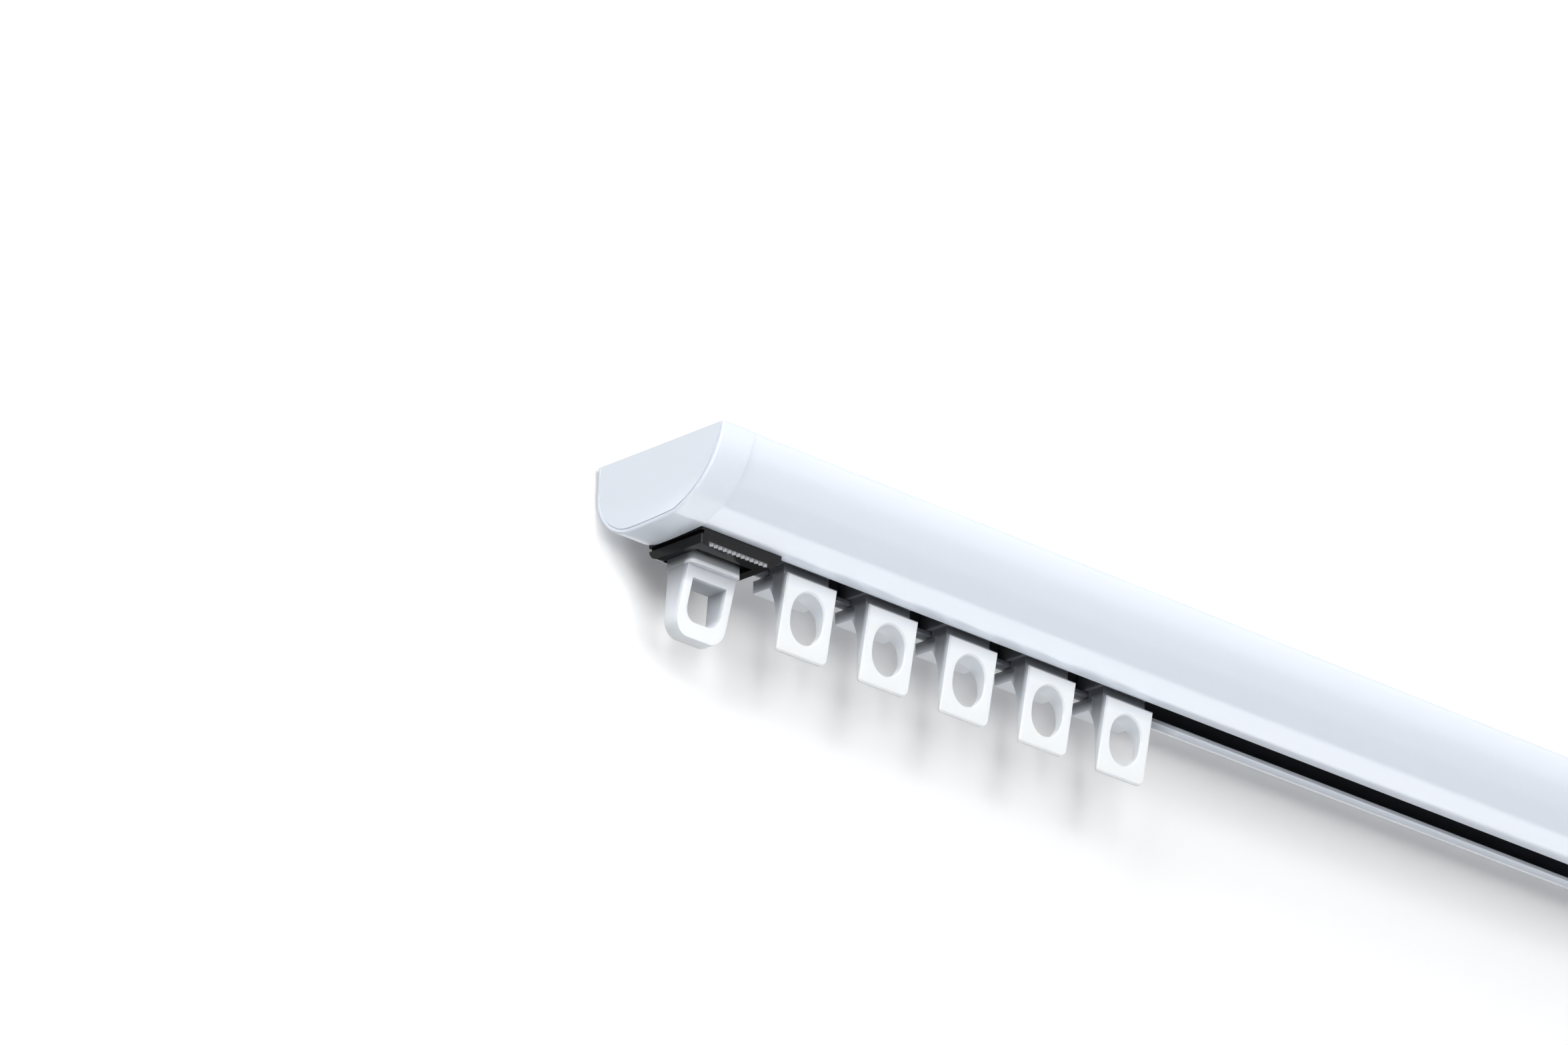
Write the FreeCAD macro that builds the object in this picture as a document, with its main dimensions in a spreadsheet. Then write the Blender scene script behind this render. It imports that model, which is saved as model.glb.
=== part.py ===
"""Curtain track: a bowed aluminium profile with end caps, an end stop, a fixed eye and gliders.

Millimetres. X runs along the track, Y towards the wall and Z up. The origin is on the top
land that fastens to the ceiling or a bracket, halfway along the track. The sub-parts are
drawn from the left cap's outer face, the front edge and the top, and are placed from there.
"""
import FreeCAD, Part
import math
import os

import Sketcher

DOCUMENT = FreeCAD.newDocument("curtain_track")
SHEET = DOCUMENT.addObject("Spreadsheet::Sheet", "sizes")
VECTOR = FreeCAD.Vector

# Driving dimensions: name, value in millimetres, meaning

DRIVING_DIMENSIONS = [
    ("track_length", "600", "over both end caps"),
    ("track_depth", "21.4", "front edge to back face"),
    ("track_height", "12.1", "top to underside"),
    ("front_edge_radius", "0.4", "rounding of the top front edge"),
    ("bow_radius", "15.7", "radius of the bowed front"),
    ("crease_back", "6.8", "crease at the foot of the bow, behind the front edge"),
    ("crease_drop", "10.3", "crease at the foot of the bow, below the top"),
    ("lower_bow_radius", "30", "radius of the flatter strip below the crease"),
    ("underside_flat", "2.0", "flat underside in front of the slot"),
    ("slot_width", "5.4", "slot that the gliders hang through"),
    ("back_lip", "3.5", "slot to back face"),
    ("lip_thickness", "0.8", "thickness of both lips at the slot"),
    ("back_corner_radius", "1.6", "bottom corner of the back wall"),
    ("skin", "1.2", "wall of the bowed front and its chamber's roof"),
    ("chamber_wall", "1.0", "wall between the front chamber and the channel"),
    ("chamber_toe", "2.1", "chamber floor above the crease"),
    ("channel_front", "7.3", "front wall of the channel at its ceiling"),
    ("channel_lean", "0.7", "how far that wall leans back at its foot"),
    ("floor_rise", "1.45", "how far the front lip rises to that wall"),
    ("back_wall", "1.4", "back wall at its foot"),
    ("back_wall_root", "2.5", "back wall at the ceiling"),
    ("web", "0.9", "web over the channel"),
    ("clip_height", "1.1", "height of the undercut that a bracket clips into"),
    ("land_lip", "0.8", "thickness of the top land's edges"),
    ("land_front", "9.9", "front of the top land"),
    ("land_width", "7.6", "width of the top land"),
    ("clip_opening", "1.5", "gap beside the land"),
    ("clip_undercut", "0.7", "undercut below the land's edges"),
    ("rib_width", "0.8", "guide ribs under the web"),
    ("front_rib_drop", "0.8", "depth of the front guide rib"),
    ("back_rib_drop", "1.1", "depth of the back guide rib"),
    ("front_groove", "0.6", "gap between the front rib and its wall"),
    ("back_groove", "1.2", "gap between the back rib and its wall"),
    ("cap_length", "6.5", "end cap outside the profile"),
    ("cap_overhang", "6.1", "end cap behind the profile"),
    ("cap_flare", "0.3", "how far the cap's back leans out"),
    ("cap_corner_radius", "7.5", "bottom back corner of the cap"),
    ("cap_belly", "0.4", "how far the cap's underside bulges below the track"),
    ("cap_blend_radius", "1.5", "rounding of the cap's long edges below the bow"),
    ("cap_wall", "1.3", "side wall of the cap"),
    ("cap_face", "1.6", "thickness of the cap's face"),
    ("cap_edge_radius", "0.3", "rounding of the face's edge"),
    ("face_line_inset", "0.45", "shadow line inside the face's edge"),
    ("face_line_width", "0.3", "width of the shadow line"),
    ("face_line_depth", "0.2", "depth of the shadow line"),
    ("face_line_run_out", "3.0", "how far the shadow line's outline stands above the cap"),
    ("spigot_length", "8.0", "reach of the spigot into the front chamber"),
    ("plug_length", "2.5", "reach of the plug between the guide ribs"),
    ("plug_height", "1.0", "height of that plug"),
    ("push_clearance", "0.1", "clearance round what pushes in"),
    ("stop_gap", "0.1", "end cap to end stop"),
    ("stop_length", "17.0", "length of the end stop"),
    ("stop_grip", "1.2", "end stop in front of the slot"),
    ("stop_overhang", "1.5", "end stop behind the back face"),
    ("stop_drop", "2.7", "end stop below the track"),
    ("stop_flange", "0.9", "thin edge at the ramped end"),
    ("stop_ramp", "2.2", "length of the ramped end"),
    ("stop_heel_radius", "2.0", "bottom back edge of the end stop"),
    ("stop_upstand", "1.9", "height of the lug behind the back wall"),
    ("end_groove_drop", "0.5", "groove in the stop's end face, below its top"),
    ("end_groove_height", "0.6", "height of that groove"),
    ("end_groove_depth", "0.6", "depth of that groove"),
    ("tooth_pitch", "0.95", "spacing of the stop's teeth"),
    ("tooth_start", "1.6", "first tooth from the stop's end"),
    ("tooth_depth", "0.45", "how deep the teeth are cut"),
    ("tooth_height", "0.6", "height of the teeth"),
    ("seat_front", "2.4", "recess for the fixed eye's ledge, behind the stop's front"),
    ("seat_depth", "0.8", "depth of that recess"),
    ("seat_margin", "0.5", "recess beside and behind the ledge"),
    ("ring_start", "1.95", "fixed eye from the stop's end"),
    ("ring_width", "10.6", "width of the fixed eye's ledge"),
    ("ring_inset", "0.2", "frame inside the ledge's ends"),
    ("ring_bar", "1.55", "side bars of the fixed eye"),
    ("ring_ledge_back", "2.8", "front of its ledge behind the slot's front"),
    ("ring_ledge_height", "2.1", "height of its ledge"),
    ("ring_ledge_step", "1.0", "ledge in front of the frame"),
    ("ring_ledge_radius", "1.0", "rounded ends of the ledge"),
    ("ring_depth", "5.6", "front of the ledge to its back"),
    ("ring_height", "10.5", "height of the frame below the ledge"),
    ("ring_lean", "2.9", "how far the frame's front leans back"),
    ("ring_back_lean", "0.8", "how far the frame's back leans back"),
    ("ring_brow", "1.8", "bar over the opening"),
    ("ring_sill", "2.4", "bar under the opening"),
    ("ring_corner_radius", "2.8", "bottom corners of the frame"),
    ("ring_opening_radius", "2.2", "bottom corners of the opening"),
    ("ring_stem", "1.8", "thickness of its stem"),
    ("ring_stem_inset", "1.3", "stem inside the eye's ends"),
    ("ring_wing", "1.5", "hold of its head on the lips"),
    ("ring_head_height", "2.4", "height of its head"),
    ("glider_width", "10.7", "length of a glider's eye plate along the track"),
    ("glider_pitch", "17.8", "spacing of the gliders"),
    ("glider_first", "3.6", "end stop to first glider"),
    ("glider_count", "5", "gliders on the track"),
    ("glider_reach", "0.9", "eye plate behind the slot's front"),
    ("neck_gap", "0.3", "neck in front of the slot's back"),
    ("neck_setback", "1.0", "neck behind the eye plate's front"),
    ("neck_inset", "1.1", "neck inside the eye plate's far end"),
    ("eye_top_drop", "0.8", "eye plate below the track"),
    ("eye_height", "12.2", "height of the eye plate"),
    ("eye_lean", "2.3", "how far the eye plate's front leans back"),
    ("eye_foot", "0.5", "thickness of the eye plate's foot"),
    ("eye_hole_radius", "3.4", "rounded ends of the hole for the curtain hook"),
    ("eye_hole_rise", "0.6", "half the height of the hole's straight sides"),
    ("eye_hole_drop", "6.0", "hole's centre below the plate's top"),
    ("eye_corner_radius", "1.4", "outer bottom corner"),
    ("eye_heel_radius", "0.5", "inner bottom corner"),
    ("heel_gap", "0.3", "heel below the back lip"),
    ("heel_height", "2.1", "height of the heel"),
    ("heel_inset", "0.2", "heel inside the back face"),
    ("flare_height", "4.7", "hollow curve from the heel down to the plate's back"),
    ("flare_radius", "8.6", "radius of that curve"),
    ("shoe_height", "3.6", "height of the shoe on the lips"),
    ("shoe_front_gap", "0.7", "shoe to the channel's front wall"),
    ("shoe_back_gap", "0.6", "shoe to the channel's back wall"),
    ("shoe_chamfer", "1.0", "sloped top edges of the shoe"),
    ("shoe_lead", "0.8", "shoe ahead of the eye plate's near end"),
    ("run_clearance", "0.1", "shoe above the lips"),
    ("soft_edge", "0.25", "softening of the moulded edges"),
]

for row, (alias, value, meaning) in enumerate(DRIVING_DIMENSIONS, start=1):
    SHEET.set(f"A{row}", meaning)
    SHEET.set(f"B{row}", value)
    SHEET.setAlias(f"B{row}", alias)
DOCUMENT.recompute()


# Lengths that carry their formula


class Length:
    """A length: its number now, and the same length as a formula of the sheet's cells."""

    def __init__(self, number, formula):
        self.number = number
        self.formula = formula

    def __add__(self, other):
        other = as_length(other)
        return Length(self.number + other.number, f"({self.formula} + {other.formula})")

    def __sub__(self, other):
        other = as_length(other)
        return Length(self.number - other.number, f"({self.formula} - {other.formula})")

    def __mul__(self, factor):
        factor = as_length(factor)
        return Length(self.number * factor.number, f"({self.formula} * {factor.formula})")

    def __truediv__(self, divisor):
        divisor = as_length(divisor)
        return Length(self.number / divisor.number, f"({self.formula} / {divisor.formula})")

    def __neg__(self):
        return Length(-self.number, f"(-{self.formula})")


def as_length(value):
    """A plain number as a length."""
    if isinstance(value, Length):
        return value
    return Length(float(value), repr(value))


def size(alias):
    """The driving dimension of this name."""
    return Length(SHEET.get(alias), f"sizes.{alias}")


# Sketches and features


def bind(item, path, value):
    """Tie a property or constraint to the formula of a length."""
    item.setExpression(path, as_length(value).formula)


def fix(sketch, kind, edge, end, value):
    """Hold one end of an edge at a distance from the sketch's origin."""
    value = as_length(value)
    index = sketch.addConstraint(Sketcher.Constraint(kind, -1, 1, edge, end, value.number))
    bind(sketch, f"Constraints[{index}]", value)


def arc_between(start, finish, radius):
    """The short arc from start to finish; a positive radius turns anticlockwise."""
    middle = (start + finish) / 2
    along = finish - start
    half = along.Length / 2
    side = 1 if radius > 0 else -1
    across = VECTOR(-along.y, along.x, 0).normalize() * side
    centre = middle + across * math.sqrt(radius * radius - half * half)
    first, last = (start, finish) if radius > 0 else (finish, start)
    turn = [math.atan2(point.y - centre.y, point.x - centre.x) for point in (first, last)]
    circle = Part.Circle(centre, VECTOR(0, 0, 1), abs(radius))
    return Part.ArcOfCircle(circle, turn[0], turn[1])


def draw_loop(sketch, corners):
    """Draw a closed outline.

    Each corner is (across, up) or (across, up, radius), where the radius is that of the arc
    to the next corner: positive where the outline turns anticlockwise. Returns the edges.
    """
    points = [VECTOR(as_length(c[0]).number, as_length(c[1]).number, 0) for c in corners]
    edges = []
    for number, corner in enumerate(corners):
        start = points[number]
        finish = points[(number + 1) % len(points)]
        if len(corner) == 3:
            radius = as_length(corner[2])
            edge = sketch.addGeometry(arc_between(start, finish, radius.number), False)
            ends = (1, 2) if radius.number > 0 else (2, 1)
            index = sketch.addConstraint(Sketcher.Constraint("Radius", edge, abs(radius.number)))
            bind(sketch, f"Constraints[{index}]", radius if radius.number > 0 else -radius)
        else:
            edge = sketch.addGeometry(Part.LineSegment(start, finish), False)
            ends = (1, 2)
        edges.append((edge, ends))
    for number, (edge, ends) in enumerate(edges):
        after, after_ends = edges[(number + 1) % len(edges)]
        sketch.addConstraint(Sketcher.Constraint("Coincident", edge, ends[1], after, after_ends[0]))
        fix(sketch, "DistanceX", edge, ends[0], corners[number][0])
        fix(sketch, "DistanceY", edge, ends[0], corners[number][1])
    return [edge for edge, ends in edges]


def draw_rectangle(sketch, left, low, right, high):
    """Draw a rectangle from its lower left to its upper right corner."""
    return draw_loop(sketch, [(left, low), (right, low), (right, high), (left, high)])


def draw_oval(sketch, across, up, radius, rise):
    """Draw an upright hole about a point: straight sides of twice the rise, rounded ends."""
    return draw_loop(sketch, [
        (across - radius, up + rise),
        (across - radius, up - rise, radius),
        (across, up - rise - radius, radius),
        (across + radius, up - rise),
        (across + radius, up + rise, radius),
        (across, up + rise + radius, radius),
    ])


def new_body(name):
    """A body whose label names its file."""
    body = DOCUMENT.addObject("PartDesign::Body", name)
    body.Label = name
    return body


def origin_feature(body, role):
    """One of the body's own origin planes or axes."""
    return [item for item in body.Origin.OriginFeatures if item.Role == role][0]


def sketch_in(body, role, name, offset=0):
    """A sketch on one of the body's origin planes, moved along the plane's normal."""
    sketch = body.newObject("Sketcher::SketchObject", f"{body.Name}_{name}")
    sketch.AttachmentSupport = [(origin_feature(body, role), "")]
    sketch.MapMode = "FlatFace"
    bind(sketch, "AttachmentOffset.Base.z", offset)
    return sketch


def extrude_in(body, kind, sketch, length, backwards=False):
    """Pad or pocket a sketch; backwards swaps the feature's own direction."""
    feature = body.newObject(f"PartDesign::{kind}", f"{sketch.Name}_{kind.lower()}")
    feature.Profile = sketch
    feature.Reversed = backwards
    bind(feature, "Length", length)
    body.Tip = feature
    DOCUMENT.recompute()
    return feature


def pocket_in(body, sketch, length, backwards=False):
    """Pocket a sketch, and make sure that it did cut."""
    before = body.Shape.Volume
    feature = extrude_in(body, "Pocket", sketch, length, backwards)
    if feature.Shape.Volume >= before:
        raise RuntimeError(f"{feature.Name} cuts nothing")
    return feature


def dress_edges(body, kind, amount, choose, name):
    """Fillet or chamfer the edges of the body that the test picks."""
    base = body.Tip
    names = [f"Edge{n}" for n, edge in enumerate(base.Shape.Edges, start=1) if choose(edge)]
    if not names:
        raise RuntimeError(f"{body.Name} {name}: no edge to soften")
    feature = body.newObject(f"PartDesign::{kind}", f"{body.Name}_{name}")
    feature.Base = (base, names)
    bind(feature, "Radius" if kind == "Fillet" else "Size", amount)
    body.Tip = feature
    DOCUMENT.recompute()
    return feature


def place(part, along):
    """Place a sub-part that was drawn from the left cap, the front edge and the top."""
    bind(part, "Placement.Base.x", as_length(along) - size("track_length") / 2)
    bind(part, "Placement.Base.y", -FIXING_LINE)
    DOCUMENT.recompute()


TOLERANCE = 1e-4


def near(value, target):
    """Whether a coordinate lies at a length."""
    return abs(value - as_length(target).number) < TOLERANCE


def lies_at(edge, axis, target):
    """Whether the whole edge lies at one coordinate of an axis."""
    points = [vertex.Point for vertex in edge.Vertexes]
    points.append(edge.valueAt((edge.FirstParameter + edge.LastParameter) / 2))
    return all(near(getattr(point, axis), target) for point in points)


# Levels and lines that several pieces share

UNDERSIDE = -size("track_height")
LIP_TOP = UNDERSIDE + size("lip_thickness")
CLIP_FLOOR = -(size("land_lip") + size("clip_height"))
CEILING = CLIP_FLOOR - size("web")
SLOT_BACK = size("track_depth") - size("back_lip")
SLOT_FRONT = SLOT_BACK - size("slot_width")
FLAT_FRONT = SLOT_FRONT - size("underside_flat")
CHANNEL_FOOT = size("channel_front") + size("channel_lean")
FLOOR_HEAD = LIP_TOP + size("floor_rise")
CHANNEL_BACK = size("track_depth") - size("back_wall")
LAND_BACK = size("land_front") + size("land_width")
FIXING_LINE = size("land_front") + size("land_width") / 2
CHAMBER_FLOOR = -(size("crease_drop") - size("chamber_toe"))
FRONT_RIB = size("channel_front") + size("front_groove")
BACK_RIB = size("track_depth") - size("back_wall_root") - size("back_groove")
CAP_DEPTH = size("track_depth") + size("cap_overhang")
STOP_START = size("cap_length") + size("stop_gap")
STOP_END = STOP_START + size("stop_length")


def floor_at(across):
    """Height of the channel's sloping floor above the front lip."""
    slope = size("floor_rise") / (SLOT_FRONT - CHANNEL_FOOT)
    return LIP_TOP + (SLOT_FRONT - across) * slope


def bowed_front(top):
    """Corners of the bowed front, from the top edge down to the flat underside."""
    return [
        (0, top),
        (0, -size("front_edge_radius"), size("bow_radius")),
        (size("crease_back"), -size("crease_drop"), size("lower_bow_radius")),
        (FLAT_FRONT, UNDERSIDE),
    ]


# Profile


def chamber_corners(clearance):
    """Corners of the hollow behind the bowed front, shrunk by a clearance.

    Its front follows the bow one skin further in, from the roof to the floor.
    """
    inner = size("bow_radius") - size("skin") - clearance
    roof = -(size("skin") + clearance)
    floor = CHAMBER_FLOOR + clearance
    wall = size("channel_front") - size("chamber_wall") - clearance
    return inner, roof, floor, wall


def draw_chamber(sketch, clearance):
    """Draw the hollow behind the bow, round the bow's own centre."""
    inner, roof, floor, wall = chamber_corners(as_length(clearance))
    start = VECTOR(0, -size("front_edge_radius").number, 0)
    foot = VECTOR(size("crease_back").number, -size("crease_drop").number, 0)
    bow = arc_between(start, foot, size("bow_radius").number)
    bow_edge = sketch.addGeometry(bow, True)
    index = sketch.addConstraint(Sketcher.Constraint("Radius", bow_edge, bow.Radius))
    bind(sketch, f"Constraints[{index}]", size("bow_radius"))
    fix(sketch, "DistanceX", bow_edge, 1, 0)
    fix(sketch, "DistanceY", bow_edge, 1, -size("front_edge_radius"))
    fix(sketch, "DistanceX", bow_edge, 2, size("crease_back"))
    fix(sketch, "DistanceY", bow_edge, 2, -size("crease_drop"))

    reach = [math.sqrt(inner.number ** 2 - (bow.Center.y - level.number) ** 2) for level in (roof, floor)]
    high_front = VECTOR(bow.Center.x - reach[0], roof.number, 0)
    low_front = VECTOR(bow.Center.x - reach[1], floor.number, 0)
    low_back = VECTOR((wall + size("channel_lean")).number, floor.number, 0)
    high_back = VECTOR(wall.number, roof.number, 0)
    front = sketch.addGeometry(arc_between(high_front, low_front, inner.number), False)
    bottom = sketch.addGeometry(Part.LineSegment(low_front, low_back), False)
    back = sketch.addGeometry(Part.LineSegment(low_back, high_back), False)
    top = sketch.addGeometry(Part.LineSegment(high_back, high_front), False)
    for edge, after in ((front, bottom), (bottom, back), (back, top), (top, front)):
        sketch.addConstraint(Sketcher.Constraint("Coincident", edge, 2, after, 1))
    sketch.addConstraint(Sketcher.Constraint("Coincident", front, 3, bow_edge, 3))
    index = sketch.addConstraint(Sketcher.Constraint("Radius", front, inner.number))
    bind(sketch, f"Constraints[{index}]", inner)
    fix(sketch, "DistanceY", front, 1, roof)
    fix(sketch, "DistanceY", front, 2, floor)
    fix(sketch, "DistanceX", back, 1, wall + size("channel_lean"))
    fix(sketch, "DistanceY", back, 1, floor)
    fix(sketch, "DistanceX", back, 2, wall)
    fix(sketch, "DistanceY", back, 2, roof)


def section_corners():
    """Corners of the extruded section, from the top front edge round to the clip grooves."""
    undercut = size("clip_undercut")
    opening = size("clip_opening")
    land_floor = -size("land_lip")
    corner = size("back_corner_radius")
    depth = size("track_depth")
    return [
        (size("front_edge_radius"), 0, size("front_edge_radius")),
        *bowed_front(0)[1:],
        (SLOT_FRONT, UNDERSIDE),
        (SLOT_FRONT, LIP_TOP),
        (CHANNEL_FOOT, FLOOR_HEAD),
        (size("channel_front"), CEILING),
        (FRONT_RIB, CEILING),
        (FRONT_RIB, CEILING - size("front_rib_drop")),
        (FRONT_RIB + size("rib_width"), CEILING - size("front_rib_drop")),
        (FRONT_RIB + size("rib_width"), CEILING),
        (BACK_RIB - size("rib_width"), CEILING),
        (BACK_RIB - size("rib_width"), CEILING - size("back_rib_drop")),
        (BACK_RIB, CEILING - size("back_rib_drop")),
        (BACK_RIB, CEILING),
        (depth - size("back_wall_root"), CEILING),
        (CHANNEL_BACK, LIP_TOP),
        (SLOT_BACK, LIP_TOP),
        (SLOT_BACK, UNDERSIDE),
        (depth - corner, UNDERSIDE, corner),
        (depth, UNDERSIDE + corner),
        (depth, 0),
        (LAND_BACK + opening, 0),
        (LAND_BACK + opening, CLIP_FLOOR),
        (LAND_BACK - undercut, CLIP_FLOOR),
        (LAND_BACK - undercut, land_floor),
        (LAND_BACK, land_floor),
        (LAND_BACK, 0),
        (size("land_front"), 0),
        (size("land_front"), land_floor),
        (size("land_front") + undercut, land_floor),
        (size("land_front") + undercut, CLIP_FLOOR),
        (size("land_front") - opening, CLIP_FLOOR),
        (size("land_front") - opening, 0),
    ]


def make_profile():
    """The extruded profile, cut to fit between the two caps."""
    body = new_body("track_profile")
    section = sketch_in(body, "YZ_Plane", "section", size("cap_length"))
    draw_loop(section, section_corners())
    draw_chamber(section, 0)
    extrude_in(body, "Pad", section, size("track_length") - size("cap_length") * 2)
    place(body, 0)
    return body


# End caps


def loose_sketch(name):
    """A sketch across the track that belongs to no body."""
    sketch = DOCUMENT.addObject("Sketcher::SketchObject", name)
    sketch.Placement = FreeCAD.Placement(VECTOR(), FreeCAD.Rotation(VECTOR(1, 1, 1), 120))
    return sketch


def extrude(source, start, finish):
    """Extrude a flat outline along the track from start to finish."""
    start = as_length(start)
    finish = as_length(finish)
    solid = DOCUMENT.addObject("Part::Extrusion", f"{source.Name}_solid")
    solid.Base = source
    solid.DirMode = "Normal"
    solid.Solid = True
    bind(solid, "LengthFwd", finish)
    bind(solid, "LengthRev", -start)
    return solid


def inset(source, distance, name):
    """The outline moved inwards by a distance."""
    outline = DOCUMENT.addObject("Part::Offset2D", name)
    outline.Source = source
    outline.Join = "Arc"
    outline.Fill = False
    bind(outline, "Value", -distance)
    return outline


def combine(kind, base, tool, name):
    """Cut or fuse two solids."""
    result = DOCUMENT.addObject(f"Part::{kind}", name)
    result.Base = base
    result.Tool = tool
    DOCUMENT.recompute()
    return result


def round_solid(base, radius, choose, name):
    """Fillet the edges of a solid that the test picks."""
    fillet = DOCUMENT.addObject("Part::Fillet", name)
    fillet.Base = base
    picked = [n for n, edge in enumerate(base.Shape.Edges, start=1) if choose(edge)]
    fillet.Edges = [(n, radius.number, radius.number) for n in picked]
    DOCUMENT.recompute()
    return fillet


def cap_corners(top):
    """Corners of the cap's outline: the profile's bow, a slight belly and a quarter circle.

    The belly's arc is level where it meets the quarter circle.
    """
    back = CAP_DEPTH + size("cap_flare")
    corner = size("cap_corner_radius")
    belly = size("cap_belly")
    reach = back - corner - FLAT_FRONT
    belly_radius = (reach * reach + belly * belly) / (belly * 2)
    foot = UNDERSIDE - belly
    return [
        *bowed_front(top)[:-1],
        (FLAT_FRONT, UNDERSIDE, belly_radius),
        (back - corner, foot, corner),
        (back, foot + corner),
        (CAP_DEPTH, 0),
    ]


def make_left_cap():
    """A moulded cup with a shadow line round its face and spigots that push in."""
    outline = loose_sketch("cap_outline")
    draw_loop(outline, cap_corners(0))
    block = extrude(outline, 0, size("cap_length"))
    DOCUMENT.recompute()
    blank = round_solid(block, size("cap_blend_radius"), is_bow_joint, "cap_blank")
    hollow = extrude(inset(outline, size("cap_wall"), "cap_inside"), size("cap_face"), size("cap_length") * 2)
    cup = combine("Cut", blank, hollow, "cap_cup")

    # The line runs out over the top edge, so its outline stands higher than the cap.
    run_out = size("face_line_run_out")
    face_line = loose_sketch("cap_face_line")
    draw_loop(face_line, [(0, run_out), *cap_corners(0)[1:], (CAP_DEPTH, run_out)])
    line_outside = inset(face_line, size("face_line_inset"), "face_line_outside")
    line_inside = inset(face_line, size("face_line_inset") + size("face_line_width"), "face_line_inside")
    ring = combine(
        "Cut",
        extrude(line_outside, 0, size("face_line_depth")),
        extrude(line_inside, 0, size("face_line_depth")),
        "face_line_ring",
    )
    lined = combine("Cut", cup, ring, "cap_lined")

    # The spigots start inside the face, so that they are one moulding with it.
    root = size("cap_face") / 2
    spigot = loose_sketch("chamber_spigot")
    draw_chamber(spigot, size("push_clearance"))
    plug = loose_sketch("channel_plug")
    plug_top = CEILING - size("push_clearance")
    draw_rectangle(
        plug,
        FRONT_RIB + size("rib_width") + size("push_clearance"),
        plug_top - size("plug_height"),
        BACK_RIB - size("rib_width") - size("push_clearance"),
        plug_top,
    )
    spigots = combine(
        "Fuse",
        extrude(spigot, root, size("cap_length") + size("spigot_length")),
        extrude(plug, root, size("cap_length") + size("plug_length")),
        "cap_spigots",
    )
    whole = combine("Fuse", lined, spigots, "cap_whole")

    rim = Part.Compound([edge for edge in blank.Shape.Edges if is_on_face(edge)])
    cap = round_solid(whole, size("cap_edge_radius"), lambda edge: is_part_of(edge, rim), "end_cap_left")
    place(cap, 0)
    return cap


def is_bow_joint(edge):
    """The long edges where the bow, the strip below it and the belly meet."""
    crease = lies_at(edge, "y", size("crease_back")) and lies_at(edge, "z", -size("crease_drop"))
    return crease or (lies_at(edge, "y", FLAT_FRONT) and lies_at(edge, "z", UNDERSIDE))


def is_on_face(edge):
    """Whether an edge bounds the cap's outer face, below its top."""
    return lies_at(edge, "x", 0) and not lies_at(edge, "z", 0)


def is_part_of(edge, rim):
    """Whether an edge of the outer face lies on the rim."""
    middle = edge.valueAt((edge.FirstParameter + edge.LastParameter) / 2)
    return is_on_face(edge) and rim.distToShape(Part.Vertex(middle))[0] < TOLERANCE


def make_right_cap(left_cap):
    """The other cap, a mirror image about the middle of the track."""
    cap = DOCUMENT.addObject("Part::Mirroring", "end_cap_right")
    cap.Label = "end_cap_right"
    cap.Source = left_cap
    cap.Normal = VECTOR(1, 0, 0)
    DOCUMENT.recompute()
    return cap


# End stop

STEM_FRONT = SLOT_FRONT + size("ring_ledge_back")
STEM_BACK = STEM_FRONT + size("ring_stem")
RING_BACK = STEM_FRONT + size("ring_depth")
RING_START = STOP_START + size("ring_start")
STOP_FRONT = SLOT_FRONT - size("stop_grip")
STOP_BACK = size("track_depth") + size("stop_overhang")
STOP_FOOT = UNDERSIDE - size("stop_drop")


def make_end_stop():
    """The moulded stop that straddles the slot and holds the fixed eye.

    A key fills the slot, a lug stands behind the back wall, teeth run along the bottom
    front edge, and a recess takes the ledge of the fixed eye.
    """
    body = new_body("end_stop")
    side = sketch_in(body, "XZ_Plane", "side", -STOP_BACK)
    draw_loop(side, [
        (STOP_START, STOP_FOOT),
        (STOP_END - size("stop_ramp"), STOP_FOOT),
        (STOP_END, UNDERSIDE - size("stop_flange")),
        (STOP_END, UNDERSIDE),
        (STOP_START, UNDERSIDE),
    ])
    extrude_in(body, "Pad", side, STOP_BACK - STOP_FRONT)

    key = sketch_in(body, "XY_Plane", "key", UNDERSIDE)
    clearance = size("push_clearance")
    draw_rectangle(key, STOP_START, SLOT_FRONT + clearance, STOP_END, SLOT_BACK - clearance)
    extrude_in(body, "Pad", key, size("lip_thickness"))

    lug = sketch_in(body, "XY_Plane", "lug", UNDERSIDE)
    draw_rectangle(lug, STOP_START, size("track_depth") + clearance, STOP_END, STOP_BACK)
    extrude_in(body, "Pad", lug, size("stop_upstand"))

    groove = sketch_in(body, "YZ_Plane", "end_groove", STOP_START)
    groove_top = UNDERSIDE - size("end_groove_drop")
    draw_rectangle(groove, STOP_FRONT, groove_top - size("end_groove_height"), STOP_BACK, groove_top)
    pocket_in(body, groove, size("end_groove_depth"), backwards=True)

    dress_edges(body, "Fillet", size("stop_heel_radius"), is_stop_heel, "heel")
    dress_edges(body, "Fillet", size("soft_edge"), is_stop_front_corner, "front_corner")

    seat = sketch_in(body, "XY_Plane", "seat", STOP_FOOT)
    margin = size("seat_margin")
    seat_front = STOP_FRONT + size("seat_front")
    draw_rectangle(
        seat, RING_START - margin, seat_front, RING_START + size("ring_width") + margin, RING_BACK + margin)
    pocket_in(body, seat, size("seat_depth"), backwards=True)

    hole = sketch_in(body, "XY_Plane", "stem_hole", STOP_FOOT)
    stem_inset = size("ring_stem_inset") - clearance
    draw_rectangle(
        hole,
        RING_START + stem_inset,
        STEM_FRONT - clearance,
        RING_START + size("ring_width") - stem_inset,
        STEM_BACK + clearance,
    )
    pocket_in(body, hole, size("stop_drop") + size("lip_thickness"), backwards=True)
    cut_teeth(body)
    place(body, 0)
    return body


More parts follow.
